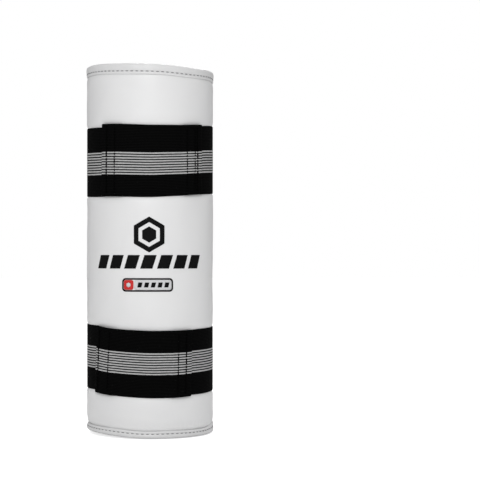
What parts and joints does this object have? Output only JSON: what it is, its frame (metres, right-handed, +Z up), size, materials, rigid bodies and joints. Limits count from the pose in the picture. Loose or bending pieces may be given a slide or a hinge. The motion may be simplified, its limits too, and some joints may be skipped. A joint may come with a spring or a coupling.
{
  "type": "forearm guard",
  "caption": "Padded slip-on sleeve for the forearm, open along the back under two overlapping flaps held closed by wide elastic straps.",
  "frame": {"origin": "middle of the bottom rim, at its lowest level", "axes": "+Z up the sleeve from the lower rim to the upper one, -Y out of the front panel, +X towards the flank that the outer flap folds from"},
  "size_m": [0.0952, 0.0952, 0.26],
  "materials": {
    "white_pu": "satin coated fabric",
    "black_fabric": "matte knit",
    "foam": "closed-cell foam",
    "black_elastic": "ribbed woven elastic",
    "black_thread": "twisted thread",
    "grey_thread": "twisted thread",
    "black_film": "heat-transfer film",
    "grey_film": "heat-transfer film"
  },
  "bodies": {
    "front_panel": {"front_badge": "grey_film", "front_bar": "black_film", "front_bottom_binding": "white_pu", "front_bottom_seam_thread": "grey_thread", "front_cover": "white_pu", "front_emblem": "black_film", "front_foam": "foam", "front_lining": "black_fabric", "front_top_binding": "white_pu", "front_top_seam_thread": "grey_thread", "lower_front_strap": "black_elastic", "lower_left_inner_stitch_row": "black_thread", "lower_left_outer_stitch_row": "black_thread", "lower_right_inner_stitch_row": "black_thread", "lower_right_outer_stitch_row": "black_thread", "upper_front_strap": "black_elastic", "upper_left_inner_stitch_row": "black_thread", "upper_left_outer_stitch_row": "black_thread", "upper_right_inner_stitch_row": "black_thread", "upper_right_outer_stitch_row": "black_thread"},
    "outer_flap": {"outer_flap_cover": "white_pu", "outer_flap_foam": "foam", "outer_flap_lining": "black_fabric", "outer_flap_lower_binding": "white_pu", "outer_flap_lower_seam_thread": "grey_thread", "outer_flap_stripe": "black_film", "outer_flap_upper_binding": "white_pu", "outer_flap_upper_seam_thread": "grey_thread"},
    "inner_flap": {"inner_flap_binding": "white_pu", "inner_flap_cover": "white_pu", "inner_flap_foam": "foam", "inner_flap_label": "grey_film", "inner_flap_lining": "black_fabric", "inner_flap_seam_thread": "grey_thread"},
    "upper_strap": {"upper_back_strap": "black_elastic"},
    "lower_strap": {"lower_back_strap": "black_elastic"}
  },
  "joints": [
    {"name": "outer_flap_fold", "type": "hinge", "parent": "front_panel", "child": "outer_flap", "pos_m": [0.04276, 0.01556, 0.13], "axis": [0, 0, -1], "range_deg": [0, 12], "stiffness_Nm_per_rad": 1},
    {"name": "inner_flap_fold", "type": "hinge", "parent": "front_panel", "child": "inner_flap", "pos_m": [-0.04276, 0.01556, 0.13], "axis": [0, 0, 1], "range_deg": [0, 9], "stiffness_Nm_per_rad": 1},
    {"name": "upper_strap_stretch", "type": "slide", "parent": "front_panel", "child": "upper_strap", "axis": [0, 1, 0], "range_m": [0, 0.0095], "deforming": ["upper_back_strap"]},
    {"name": "lower_strap_stretch", "type": "slide", "parent": "front_panel", "child": "lower_strap", "axis": [0, 1, 0], "range_m": [0, 0.0095], "deforming": ["lower_back_strap"]}
  ],
  "couplings": [
    {"joint": "inner_flap_fold", "follows": "outer_flap_fold", "ratio": 0.75},
    {"joint": "upper_strap_stretch", "follows": "outer_flap_fold", "m_per_rad": 0.045},
    {"joint": "lower_strap_stretch", "follows": "outer_flap_fold", "m_per_rad": 0.045}
  ]
}
